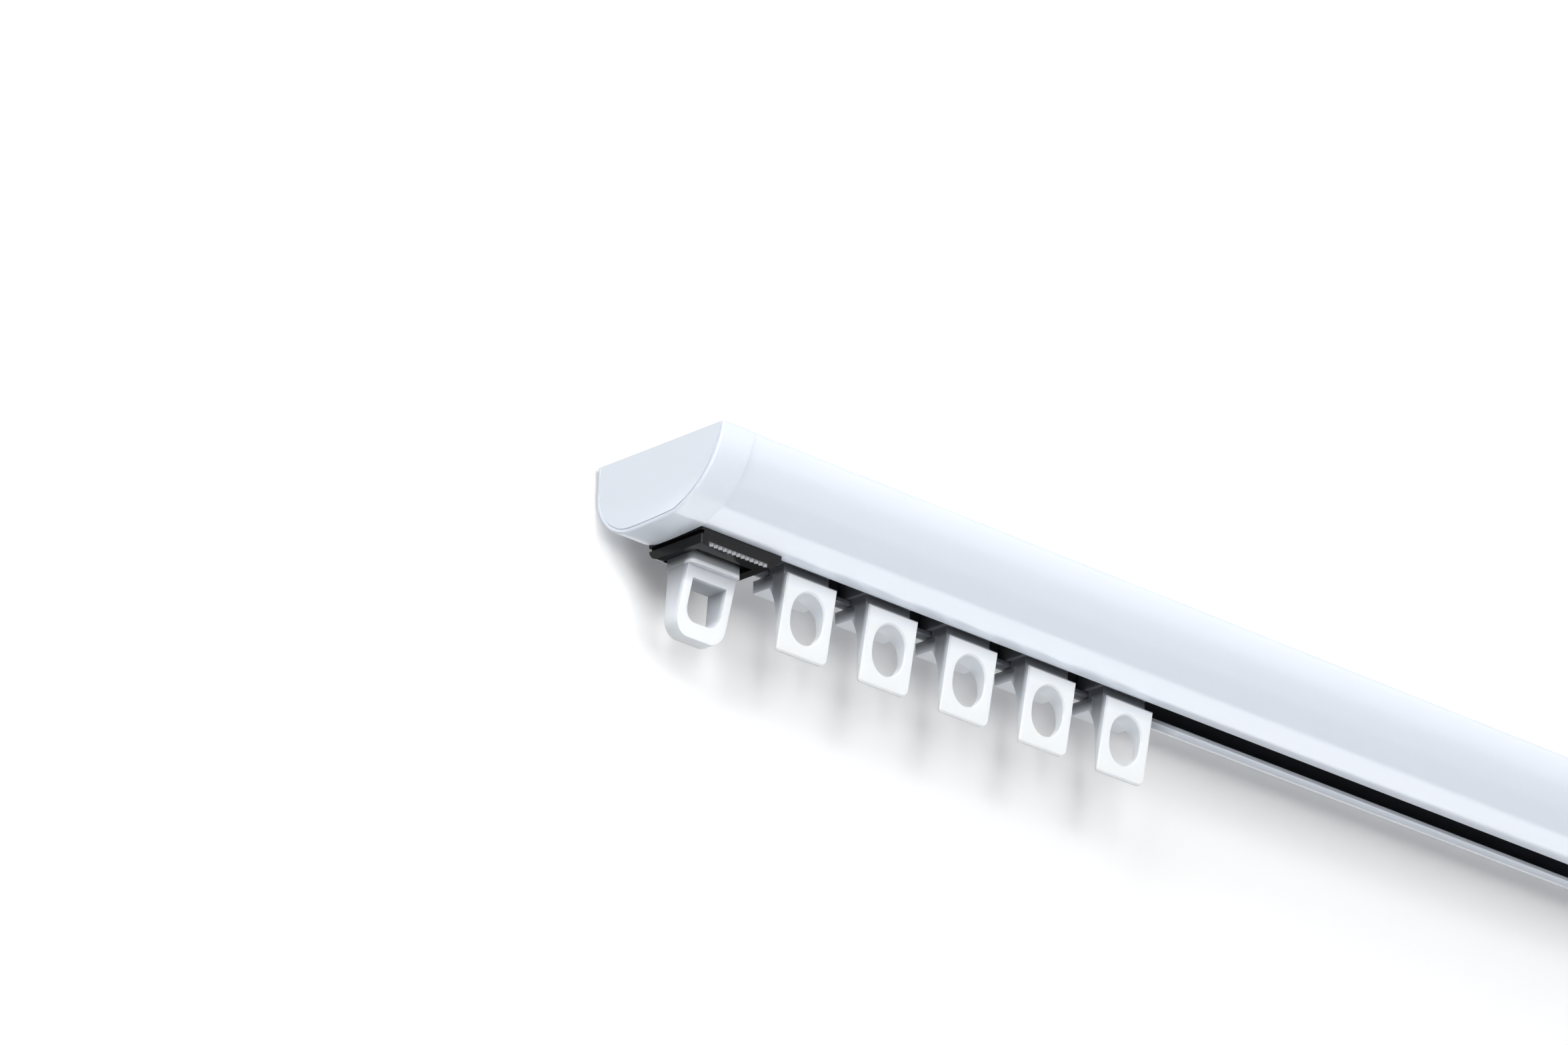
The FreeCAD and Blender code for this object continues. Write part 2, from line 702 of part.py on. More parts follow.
def is_stop_heel(edge):
    """The long bottom back edge."""
    return lies_at(edge, "y", STOP_BACK) and lies_at(edge, "z", STOP_FOOT)


def is_stop_front_corner(edge):
    """The upright front corner next to the cap."""
    return lies_at(edge, "y", STOP_FRONT) and lies_at(edge, "x", STOP_START)


def cut_teeth(body):
    """Cut one notch in the bottom front edge and repeat it up to the ramp."""
    notch = sketch_in(body, "XY_Plane", "notch", STOP_FOOT)
    first = STOP_START + size("tooth_start")
    draw_loop(notch, [
        (first, STOP_FRONT),
        (first + size("tooth_pitch"), STOP_FRONT),
        (first + size("tooth_pitch") / 2, STOP_FRONT + size("tooth_depth")),
    ])
    cut = pocket_in(body, notch, size("tooth_height"), backwards=True)
    toothed = STOP_END - size("stop_ramp") - first
    pattern = body.newObject("PartDesign::LinearPattern", "end_stop_teeth")
    pattern.Originals = [cut]
    pattern.Direction = (origin_feature(body, "X_Axis"), [""])
    pattern.Mode = "Spacing"
    bind(pattern, "Offset", size("tooth_pitch"))
    pattern.Occurrences = int(toothed.number / size("tooth_pitch").number)
    body.Tip = pattern
    DOCUMENT.recompute()


# Heads that run or sit on the lips


def head_corners(front, back, stem_front, stem_back, lift, height, chamfer):
    """Corners of a head on the two lips, from the stem's front over its top to its back."""
    seat = LIP_TOP + lift
    top = seat + height
    shoulder = top - chamfer
    return [
        (stem_back, seat),
        (back, seat),
        (back, shoulder),
        (back - chamfer, top),
        (front + chamfer, top),
        (front, shoulder),
        (front, floor_at(front) + lift),
        (SLOT_FRONT, seat),
        (stem_front, seat),
    ]


# Fixed eye


def make_fixed_eye():
    """The moulded eye under the end stop: a head on the lips, a stem, a ledge and a frame."""
    body = new_body("fixed_eye")
    ledge_top = STOP_FOOT + size("seat_depth")
    ledge_foot = ledge_top - size("ring_ledge_height")
    frame_foot = ledge_foot - size("ring_height")
    frame_front = STEM_FRONT + size("ring_ledge_step")
    inset = size("ring_inset")

    frame = sketch_in(body, "YZ_Plane", "frame", RING_START + inset)
    draw_loop(frame, [
        (frame_front, ledge_top),
        (frame_front, ledge_foot),
        (frame_front + size("ring_lean"), frame_foot),
        (RING_BACK + size("ring_back_lean"), frame_foot),
        (RING_BACK, ledge_foot),
        (RING_BACK, ledge_top),
    ])
    extrude_in(body, "Pad", frame, size("ring_width") - inset * 2)
    dress_edges(
        body,
        "Fillet",
        size("ring_corner_radius"),
        lambda edge: lies_at(edge, "z", frame_foot) and edge.BoundBox.XLength < TOLERANCE,
        "bottom_corners",
    )

    ledge = sketch_in(body, "XY_Plane", "ledge", ledge_foot)
    radius = size("ring_ledge_radius")
    left = RING_START
    right = RING_START + size("ring_width")
    draw_loop(ledge, [
        (left + radius, STEM_FRONT),
        (right - radius, STEM_FRONT, radius),
        (right, STEM_FRONT + radius),
        (right, RING_BACK),
        (left, RING_BACK),
        (left, STEM_FRONT + radius, radius),
    ])
    extrude_in(body, "Pad", ledge, size("ring_ledge_height"))

    opening = sketch_in(body, "XZ_Plane", "opening")
    bar = inset + size("ring_bar")
    curve = size("ring_opening_radius")
    sill = frame_foot + size("ring_sill")
    brow = ledge_foot - size("ring_brow")
    draw_loop(opening, [
        (left + bar + curve, sill),
        (right - bar - curve, sill, curve),
        (right - bar, sill + curve),
        (right - bar, brow),
        (left + bar, brow),
        (left + bar, sill + curve, curve),
    ])
    pocket_in(body, opening, size("track_depth") * 2)

    stem = sketch_in(body, "YZ_Plane", "stem", RING_START + size("ring_stem_inset"))
    corners = head_corners(
        SLOT_FRONT - size("ring_wing"),
        SLOT_BACK + size("ring_wing"),
        STEM_FRONT,
        STEM_BACK,
        size("run_clearance") / 2,
        size("ring_head_height"),
        size("ring_head_height") / 4,
    )
    draw_loop(stem, [(STEM_FRONT, ledge_top), (STEM_BACK, ledge_top), *corners])
    extrude_in(body, "Pad", stem, size("ring_width") - size("ring_stem_inset") * 2)
    place(body, 0)
    return body


# Gliders

EYE_FRONT = SLOT_FRONT + size("glider_reach")
EYE_TOP = UNDERSIDE - size("eye_top_drop")
EYE_FOOT = EYE_TOP - size("eye_height")
EYE_BACK = EYE_FRONT + size("eye_lean") + size("eye_foot")
NECK_BACK = SLOT_BACK - size("neck_gap")
HEEL_TOP = UNDERSIDE - size("heel_gap")
HEEL_FOOT = HEEL_TOP - size("heel_height")
HEEL_BACK = size("track_depth") - size("heel_inset")


def make_glider(number):
    """One moulded glider: a shoe on the lips, a neck, a leaning eye plate and a heel."""
    body = new_body(f"glider_{number}")
    width = size("glider_width")
    plate = sketch_in(body, "YZ_Plane", "plate")
    draw_loop(plate, [
        (EYE_FRONT, EYE_TOP),
        (EYE_FRONT + size("eye_lean"), EYE_FOOT),
        (EYE_BACK, EYE_FOOT),
        (EYE_BACK, HEEL_FOOT - size("flare_height"), -size("flare_radius")),
        (NECK_BACK, HEEL_FOOT),
        (HEEL_BACK, HEEL_FOOT),
        (HEEL_BACK, HEEL_TOP),
        (NECK_BACK, HEEL_TOP),
        (NECK_BACK, EYE_TOP),
    ])
    extrude_in(body, "Pad", plate, width)
    dress_edges(body, "Fillet", size("eye_corner_radius"), lambda edge: is_foot_corner(edge, width), "corner")
    dress_edges(body, "Fillet", size("eye_heel_radius"), lambda edge: is_foot_corner(edge, 0), "heel")

    hole = sketch_in(body, "XZ_Plane", "hole")
    draw_oval(hole, width / 2, EYE_TOP - size("eye_hole_drop"), size("eye_hole_radius"), size("eye_hole_rise"))
    pocket_in(body, hole, size("track_depth") * 2)
    dress_edges(body, "Chamfer", size("soft_edge"), is_plate_front, "soft_front")

    neck = sketch_in(body, "YZ_Plane", "neck")
    neck_front = EYE_FRONT + size("neck_setback")
    corners = head_corners(
        CHANNEL_FOOT + size("shoe_front_gap"),
        CHANNEL_BACK - size("shoe_back_gap"),
        neck_front,
        NECK_BACK,
        size("run_clearance"),
        size("shoe_height"),
        size("shoe_chamfer"),
    )
    draw_loop(neck, [(neck_front, EYE_TOP), (NECK_BACK, EYE_TOP), *corners])
    extrude_in(body, "Pad", neck, width - size("neck_inset"))

    # The shoe alone reaches ahead of the neck, so its outline leaves out the neck's two corners.
    lead = sketch_in(body, "YZ_Plane", "lead", -size("shoe_lead"))
    draw_loop(lead, corners[1:-1])
    extrude_in(body, "Pad", lead, size("shoe_lead"))

    first = STOP_END + size("glider_first")
    place(body, first + size("glider_pitch") * (number - 1))
    return body


def is_foot_corner(edge, along):
    """The short bottom edge of the plate at one end."""
    return lies_at(edge, "z", EYE_FOOT) and lies_at(edge, "x", along)


def is_plate_front(edge):
    """An edge of the plate's leaning front face, its hole's rim included."""
    lean = size("eye_lean") / size("eye_height")
    count = 5
    for step in range(count):
        reach = edge.FirstParameter + (edge.LastParameter - edge.FirstParameter) * step / (count - 1)
        point = edge.valueAt(reach)
        face = EYE_FRONT.number + (EYE_TOP.number - point.z) * lean.number
        if abs(point.y - face) > TOLERANCE:
            return False
    return True


# Build, check and write


def check(parts):
    """Stop if any object failed or any sub-part is not one sound solid."""
    for item in DOCUMENT.Objects:
        if "Invalid" in item.State or "Error" in item.State:
            raise RuntimeError(f"{item.Name} failed: {item.State}")
    for part in parts:
        shape = part.Shape
        if shape.isNull() or not shape.isValid() or len(shape.Solids) != 1:
            raise RuntimeError(f"{part.Label} is not one valid solid")


def write(parts):
    """Write each sub-part to the file that its label names."""
    os.makedirs("parts", exist_ok=True)
    for part in parts:
        part.Shape.exportStep(f"parts/{part.Label}.step")
        print(part.Label, round(part.Shape.Volume, 1), "mm3", len(part.Shape.Faces), "faces")


LEFT_CAP = make_left_cap()
PARTS = [make_profile(), LEFT_CAP, make_right_cap(LEFT_CAP), make_end_stop(), make_fixed_eye()]
PARTS += [make_glider(number) for number in range(1, int(size("glider_count").number) + 1)]
DOCUMENT.recompute()
check(PARTS)
write(PARTS)
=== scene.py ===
"""Curtain track with end caps, an end stop, a fixed eye and gliders, in metres on the CAD frame."""
import math

import bmesh
import bpy
import numpy as np
from mathutils import Matrix, Vector
from mathutils.geometry import tessellate_polygon


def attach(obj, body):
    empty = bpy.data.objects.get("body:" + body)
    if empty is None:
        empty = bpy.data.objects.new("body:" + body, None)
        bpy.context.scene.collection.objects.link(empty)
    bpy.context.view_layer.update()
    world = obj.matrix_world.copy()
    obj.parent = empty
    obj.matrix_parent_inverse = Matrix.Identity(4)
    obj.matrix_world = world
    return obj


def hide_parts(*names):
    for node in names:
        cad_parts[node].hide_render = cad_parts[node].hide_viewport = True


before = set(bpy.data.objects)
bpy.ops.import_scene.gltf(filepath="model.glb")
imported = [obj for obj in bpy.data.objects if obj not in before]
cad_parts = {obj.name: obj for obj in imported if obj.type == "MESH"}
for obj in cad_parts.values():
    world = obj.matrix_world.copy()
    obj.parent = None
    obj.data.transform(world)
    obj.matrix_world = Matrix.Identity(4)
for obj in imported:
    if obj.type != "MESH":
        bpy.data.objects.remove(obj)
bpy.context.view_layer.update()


# Camera
# A long lens looks up at the stop's end of the track from in front, below and left of it. Sizes
# are in millimetres, and MM makes them metres.

MM = 0.001
scene = bpy.context.scene
photo_width = 2352
lens_pixels = 12496
sensor_width = 36.0
nearest = 10 * MM
farthest = 50000 * MM
view_azimuth = math.radians(-44.31)
view_elevation = math.radians(-22.48)
view_roll = math.radians(0.89)
look_at = Vector((-277.3, -3.7, -7.1)) * MM
view_distance = 1273 * MM


def camera_axes(azimuth, elevation, roll):
    """The camera's right, up and back axes; azimuth 0 looks along +Y, roll turns about back."""
    back = Vector((
        math.sin(azimuth) * math.cos(elevation),
        -math.cos(azimuth) * math.cos(elevation),
        math.sin(elevation),
    ))
    level = Vector((math.cos(azimuth), math.sin(azimuth), 0.0))
    up = back.cross(level)
    right = level * math.cos(roll) + up * math.sin(roll)
    return right, back.cross(right), back


right, up, back = camera_axes(view_azimuth, view_elevation, view_roll)
camera_data = bpy.data.cameras.new("photo_view")
camera_data.sensor_width = sensor_width
camera_data.lens = lens_pixels / photo_width * sensor_width
camera_data.clip_start = nearest
camera_data.clip_end = farthest
camera = bpy.data.objects.new("photo_view", camera_data)
scene.collection.objects.link(camera)
camera_turn = Matrix((right, up, back)).transposed().to_4x4()
camera.matrix_world = Matrix.Translation(look_at + back * view_distance) @ camera_turn
scene.camera = camera


# Track profile
# One aluminium extrusion, 587 mm between the caps: a bowed front over a hollow chamber, a slotted
# channel with two running lips, and two undercut grooves on top for ceiling clips. Powder coated
# white in a satin finish; shade is painted near black inside the channel, and dark grey on the back
# lip by the gliders.

# In the section, depths count back from the front edge and heights up from the top face. The
# fixing line halves the land between the grooves and is the frame's Y = 0. The radius of every
# small edge is called fine.
track_length = 600.0
track_depth = 21.4
track_height = 12.1
fixing_line = 13.7
cap_length = 6.5
fine = 0.12

bow_start = (0, -0.4)
bow_radius = 32
fold = (3.55, -7.5)
lower_bow_radius = 26
lower_bow_end = (6.8, -10.3)
underside_radius = 30
underside_start = (10.5, -track_height)
front_top_radius = 0.35
back_top_radius = 0.2
back_bottom_radius = 1.6

chamber_front_top = (1.44, -1.2)
chamber_front_floor = (5.77, -8.2)
chamber_back_floor = (7.0, -8.2)
chamber_back_top = (6.3, -1.2)
chamber_radius = 14.5

lip_thickness = 0.8
lip_top = lip_thickness - track_height
slot_front = 12.5
slot_back = 17.9
front_lip_foot = (8.0, -9.85)
back_lip_foot = (20.0, lip_top)
web_bottom = -2.8
channel_front = 7.3
channel_back = 18.9
# The guide ribs under the web: where each starts and how far it drops.
rib_width = 0.8
front_rib = (7.9, 0.8)
back_rib = (16.1, 1.1)

land_half = 3.8
groove_mouth = 1.5
groove_undercut = 0.7
groove_lip = 0.8
groove_floor = -1.9


def arc_points(start, finish, radius, steps):
    """Points on the short arc from start to finish: the centre lies half a chord across and
    sqrt(radius squared minus half the chord squared) to the left, or right if radius is negative."""
    start, finish = np.array(start, float), np.array(finish, float)
    chord = finish - start
    half = np.linalg.norm(chord) / 2
    across = np.array([-chord[1], chord[0]]) / (2 * half) * math.copysign(1, radius)
    centre = (start + finish) / 2 + across * math.sqrt(radius * radius - half * half)
    a, b = (np.arctan2(*(p - centre)[::-1]) for p in (start, finish))
    b += 2 * math.pi * round((a - b) / (2 * math.pi))
    turn = np.linspace(a, b, steps)
    return centre + abs(radius) * np.stack([np.cos(turn), np.sin(turn)], 1)


def rounded(corners, steps=4):
    """An outline with each corner (across, up, radius) cut by an arc that touches both sides:
    the arc starts radius times tan(half the turn) before the corner."""
    count = len(corners)
    points = []
    for i, (x, y, radius) in enumerate(corners):
        here = np.array([x, y], float)
        if radius == 0:
            points.append(here[None])
            continue
        before = np.array(corners[i - 1][:2], float) - here
        after = np.array(corners[(i + 1) % count][:2], float) - here
        before /= np.linalg.norm(before)
        after /= np.linalg.norm(after)
        turn = math.pi - math.acos(np.clip(before @ after, -1, 1))
        reach = radius * math.tan(turn / 2)
        side = before[0] * after[1] - before[1] * after[0]
        bend = -math.copysign(radius, side)
        points.append(arc_points(here + before * reach, here + after * reach, bend, steps + 1))
    return np.concatenate(points)


def rib(start, drop):
    """The corners of a rib that hangs from the web: rib_width wide, back from the start."""
    end = start + rib_width
    tip = web_bottom - drop
    return [(start, web_bottom, 0), (start, tip, fine), (end, tip, fine), (end, web_bottom, 0)]


def section_mesh(name, loops, low, high):
    """A mesh carried along X: every loop's point (y, z) stands at x = low and x = high, and both
    end faces are the area between the loops."""
    points, sides, low_end, high_end = [], [], [], []
    start = 0
    # Each loop's points are numbered first at the low end and then at the high end.
    for loop in loops:
        count = len(loop)
        across, up = loop[:, 0] - fixing_line, loop[:, 1]
        for x in (low, high):
            points.append(np.column_stack([np.full(count, x - track_length / 2), across, up]))
        here = start + np.arange(count)
        after = np.roll(here, -1)
        sides.append(np.stack([here, after, after + count, here + count], 1))
        low_end.append(here)
        high_end.append(here + count)
        start += 2 * count
    ends = np.array(tessellate_polygon([[Vector((y, z, 0)) for y, z in loop] for loop in loops]))
    faces = np.concatenate(sides).tolist()
    for end in (low_end, high_end):
        faces += np.concatenate(end)[ends].tolist()
    mesh = bpy.data.meshes.new(name)
    mesh.from_pydata((np.concatenate(points) * MM).tolist(), [], faces)
    return mesh


def finish_mesh(mesh, sharp_angle, merge_distance, flat_angle=None):
    """Merge corners closer than the distance, turn all faces outwards, shade smooth and keep edges
    sharper than the sharp angle; faces that turn by less than the flat angle become one."""
    shape = bmesh.new()
    shape.from_mesh(mesh)
    bmesh.ops.remove_doubles(shape, verts=shape.verts, dist=merge_distance * MM)
    if flat_angle:
        limit = math.radians(flat_angle)
        bmesh.ops.dissolve_limit(shape, angle_limit=limit, verts=shape.verts, edges=shape.edges)
    bmesh.ops.recalc_face_normals(shape, faces=shape.faces)
    shape.to_mesh(mesh)
    shape.free()
    mesh.shade_smooth()
    mesh.set_sharp_from_angle(angle=math.radians(sharp_angle))
    return mesh


def new_piece(name, mesh, body, nodes, material):
    """Put a finished mesh into the scene in place of its CAD nodes."""
    piece = bpy.data.objects.new(name, mesh)
    scene.collection.objects.link(piece)
    mesh.materials.clear()
    mesh.materials.append(material)
    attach(piece, body)
    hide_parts(*nodes)
    return piece


def add_node(tree, kind, settings=None, **sockets):
    """Add a shader node. Sockets are named, or numbered as i0, i1 and so on; each takes a value,
    or another node's output to link."""
    item = tree.nodes.new(kind)
    for key, value in (settings or {}).items():
        setattr(item, key, value)
    for key, value in sockets.items():
        numbered = key[0] == "i" and key[1:].isdigit()
        socket = item.inputs[int(key[1:]) if numbered else key.replace("_", " ")]
        if isinstance(value, bpy.types.NodeSocket):
            tree.links.new(value, socket)
        else:
            socket.default_value = value
    return item


def maths(tree, operation, *values):
    """The result of an operation on values or outputs, given in the order of the node's sockets."""
    sockets = {f"i{number}": value for number, value in enumerate(values)}
    return add_node(tree, "ShaderNodeMath", {"operation": operation}, **sockets).outputs[0]


def fade(tree, value, start, end):
    """0 at the start and 1 at the end, both in mm, even between them and level beyond."""
    return add_node(
        tree, "ShaderNodeMapRange", Value=value, From_Min=start * MM, From_Max=end * MM).outputs["Result"]


def blend(tree, share, first, second, way="MIX"):
    """The first colour where the share is 0, and the second laid over it in that way where it is 1."""
    settings = {"data_type": "RGBA", "blend_type": way}
    return add_node(tree, "ShaderNodeMix", settings, i0=share, i6=first, i7=second).outputs[2]


def within(tree, limits):
    """1 where every (value, comparison, level in mm) holds, else 0."""
    result = None
    for value, way, level in limits:
        test = maths(tree, way, value, level * MM)
        result = test if result is None else maths(tree, "MULTIPLY", result, test)
    return result


def new_material(name, **sockets):
    """A material with a Principled surface; returns it, its tree and the surface node."""
    material = bpy.data.materials.new(name)
    material.use_nodes = True
    tree = material.node_tree
    surface = tree.nodes["Principled BSDF"]
    for key, value in sockets.items():
        surface.inputs[key.replace("_", " ")].default_value = value
    return material, tree, surface


def add_bump(tree, surface, height, strength, depth):
    """Turn the surface's normal by a height, of which 1 stands for the given depth in mm."""
    bump = add_node(tree, "ShaderNodeBump", Strength=strength, Distance=depth * MM, Height=height)
    tree.links.new(bump.outputs["Normal"], surface.inputs["Normal"])


bow = np.concatenate([
    arc_points(bow_start, fold, bow_radius, steps=16),
    arc_points(fold, lower_bow_end, lower_bow_radius, steps=10)[1:],
    arc_points(lower_bow_end, underside_start, underside_radius, steps=6)[1:],
])
groove = [
    (land_half + groove_mouth, 0, fine), (land_half + groove_mouth, groove_floor, 0),
    (land_half - groove_undercut, groove_floor, 0), (land_half - groove_undercut, -groove_lip, 0),
    (land_half, -groove_lip, fine), (land_half, 0, fine),
]
track_section = rounded(
    [(y, z, 0) for y, z in bow]
    + [(slot_front, -track_height, fine), (slot_front, lip_top, fine), (*front_lip_foot, fine)]
    + [(channel_front, web_bottom, 0)] + rib(*front_rib) + rib(*back_rib) + [(channel_back, web_bottom, 0)]
    + [(*back_lip_foot, fine), (slot_back, lip_top, fine), (slot_back, -track_height, fine)]
    + [(track_depth, -track_height, back_bottom_radius), (track_depth, 0, back_top_radius)]
    + [(fixing_line + y, z, radius) for y, z, radius in groove]
    + [(fixing_line - y, z, radius) for y, z, radius in reversed(groove)]
    + [(0, 0, front_top_radius)]
)
chamber = np.concatenate([
    arc_points(chamber_front_top, chamber_front_floor, chamber_radius, steps=14),
    [chamber_back_floor, chamber_back_top],
])

coated = (0.82, 0.875, 0.955, 1)
# Dark grey, painted as shade on the back lip by the gliders.
lip_painted_shade = (0.13, 0.14, 0.16, 1)
# Near black, painted as shade inside the channel.
channel_painted_shade = (0.05, 0.055, 0.065, 1)
peel_share = 0.6
# A tint reaches the margin past the faces it colours. The shade painted on the back lip reaches back
# to the depth given below, and along X it fades out towards its end over the fade length.
margin = 0.1
lip_shade_depth = 20.4
lip_shade_end = -180.0
lip_shade_fade = 10.0

# Orange peel in the coat, over the streaks that drawing leaves along the metal.
track_coat, tree, surface = new_material(
    "track_coat", Base_Color=coated, Roughness=0.28, IOR=1.5, Coat_Weight=0.5, Coat_Roughness=0.14)
place = add_node(tree, "ShaderNodeTexCoord").outputs["Object"]
peel = add_node(tree, "ShaderNodeTexNoise", Vector=place, Scale=900.0, Detail=2.0).outputs["Fac"]
drawn = add_node(tree, "ShaderNodeMapping", Vector=place, Scale=(6.0, 2600.0, 2600.0)).outputs[0]
streaks = add_node(tree, "ShaderNodeTexNoise", Vector=drawn, Scale=1.0, Detail=3.0).outputs["Fac"]
height = maths(tree, "MULTIPLY_ADD", peel, peel_share, streaks)
add_bump(tree, surface, height, strength=0.12, depth=0.04)

# Shade painted inside the channel: between its two walls, above the lips and their slope, and below the web.
parts = add_node(tree, "ShaderNodeSeparateXYZ", Vector=place).outputs
lip_slope = (front_lip_foot[1] - lip_top) / (slot_front - front_lip_foot[0])
above_slope = maths(tree, "MULTIPLY_ADD", parts["Y"], lip_slope, parts["Z"])
inside = within(tree, [
    (parts["Y"], "GREATER_THAN", channel_front - margin - fixing_line),
    (parts["Y"], "LESS_THAN", back_lip_foot[0] + margin - fixing_line),
    (parts["Z"], "GREATER_THAN", lip_top - margin),
    (parts["Z"], "LESS_THAN", web_bottom + margin),
    (above_slope, "GREATER_THAN", lip_top - margin + lip_slope * (slot_front - fixing_line)),
])

# Shade painted dark grey on the back lip, behind and between the gliders, fading out to the right.
back_lip = within(tree, [
    (parts["Y"], "GREATER_THAN", slot_back - 2 * margin - fixing_line),
    (parts["Z"], "LESS_THAN", lip_top + margin),
    (parts["Y"], "LESS_THAN", lip_shade_depth - fixing_line),
])
lip_shade = maths(tree, "MULTIPLY", back_lip, fade(tree, parts["X"], lip_shade_end, lip_shade_end - lip_shade_fade))
tint = blend(tree, inside, blend(tree, lip_shade, coated, lip_painted_shade), channel_painted_shade)
tree.links.new(tint, surface.inputs["Base Color"])

track_mesh = section_mesh("track", [track_section, chamber], cap_length, track_length - cap_length)
finish_mesh(track_mesh, sharp_angle=28, merge_distance=0.0001)
new_piece("track", track_mesh, "track", ["track_profile"], track_coat)


# End caps
# Two mouldings in gloss white plastic that push into the ends of the profile on spigots. The
# face has a softly rounded rim and a shadow line inside it.

edge_angle = 24


def moulding(node):
    """The node's own shape, with its triangles merged into flat faces."""
    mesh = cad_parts[node].data.copy()
    mesh.name = node
    return finish_mesh(mesh, sharp_angle=edge_angle, merge_distance=0.002, flat_angle=0.6)


def round_off(piece, width, segments, angle=edge_angle):
    """Round the edges that turn by more than the angle, with a bevel of the width in mm."""
    soft = piece.modifiers.new("rounded_edges", "BEVEL")
    soft.width = width * MM
    soft.segments = segments
    soft.limit_method = "ANGLE"
    soft.angle_limit = math.radians(angle)
    soft.use_clamp_overlap = True
    soft.harden_normals = True


def add_grain(tree, surface, scale, detail, strength, depth):
    """Give the surface a fine moulded grain, and return the place on the piece that it reads."""
    place = add_node(tree, "ShaderNodeTexCoord").outputs["Object"]
    grain = add_node(tree, "ShaderNodeTexNoise", Vector=place, Scale=scale, Detail=detail).outputs["Fac"]
    add_bump(tree, surface, grain, strength, depth)
    return place


cap_plastic, tree, surface = new_material(
    "cap_plastic", Base_Color=(0.84, 0.895, 0.98, 1), Roughness=0.28, IOR=1.5, Subsurface_Weight=0.15,
    Subsurface_Radius=(0.8 * MM, 0.9 * MM, 1.0 * MM), Subsurface_Scale=1.0)
add_grain(tree, surface, scale=1500.0, detail=2.0, strength=0.08, depth=0.03)
for node in ("end_cap_left", "end_cap_right"):
    name = node.replace("end_cap", "cap")
    cap = new_piece(name, moulding(node), "track", [node], cap_plastic)
    round_off(cap, width=0.12, segments=2, angle=40)


# End stop
# A black gloss moulding under the slot next to the left cap. Its key fills the slot, its lug
# stands behind the back wall, and a row of teeth runs along its bottom front edge.

moulded_black = (0.004, 0.004, 0.005, 1)
# A pale grey painted on the teeth as a highlight.
teeth_highlight_grey = (0.33, 0.34, 0.36, 1)
# The box round the teeth, where a highlight is painted, on the frame's axes.
teeth_front, teeth_back = -2.37, -1.9
teeth_bottom, teeth_top = -14.77, -14.1
teeth_left = -292.2

stop_plastic, tree, surface = new_material(
    "stop_plastic", Base_Color=moulded_black, Roughness=0.2, IOR=1.35, Specular_IOR_Level=0.32,
    Coat_Weight=0.08, Coat_Roughness=0.08)
place = add_grain(tree, surface, scale=1200.0, detail=3.0, strength=0.12, depth=0.04)
# A pale grey is painted on the teeth as a highlight, for the glints on their edges.
parts = add_node(tree, "ShaderNodeSeparateXYZ", Vector=place).outputs
teeth_glint = within(tree, [
    (parts["Y"], "GREATER_THAN", teeth_front), (parts["Y"], "LESS_THAN", teeth_back),
    (parts["Z"], "GREATER_THAN", teeth_bottom), (parts["Z"], "LESS_THAN", teeth_top),
    (parts["X"], "GREATER_THAN", teeth_left),
])
tree.links.new(blend(tree, teeth_glint, moulded_black, teeth_highlight_grey), surface.inputs["Base Color"])
stop = new_piece("stop", moulding("end_stop"), "track", ["end_stop"], stop_plastic)
round_off(stop, width=0.16, segments=3)


# Fixed eye
# A white moulding that hangs in the end stop: its head lies on the lips, its stem passes the
# stop, and its frame takes the first hook. Slightly milky plastic with all edges rounded.

milky_white = (0.87, 0.91, 0.97, 1)
# A dark grey painted as shade near the dark slot.
slot_shade_grey = (0.16, 0.17, 0.19, 1)
# The painted shade comes in over shade_fade behind its plane, and on a flank between two distances
# inside the side face.
shade_fade = 0.7
flank_inner, flank_outer = 0.9, 0.3
# Where the shade painted near the slot starts and where it is full, as Z inside the track and as Z
# and Y under and behind the slot.
inside_track = (-13.0, -12.2)
under_slot = (-14.4, -13.0)
behind_slot = (2.4, 3.4)


def shade_by_height(tree, height, stops):
    """A grey that changes evenly between stops of (height in mm, level), given from low to high."""
    (low, first), *middle, (high, last) = stops
    ramp = add_node(tree, "ShaderNodeValToRGB", Fac=fade(tree, height, low, high))
    elements = ramp.color_ramp.elements
    elements[0].color = (first, first, first, 1)
    elements[1].color = (last, last, last, 1)
    for where, level in middle:
        elements.new((where - low) / (high - low)).color = (level, level, level, 1)
    return ramp.outputs["Color"]


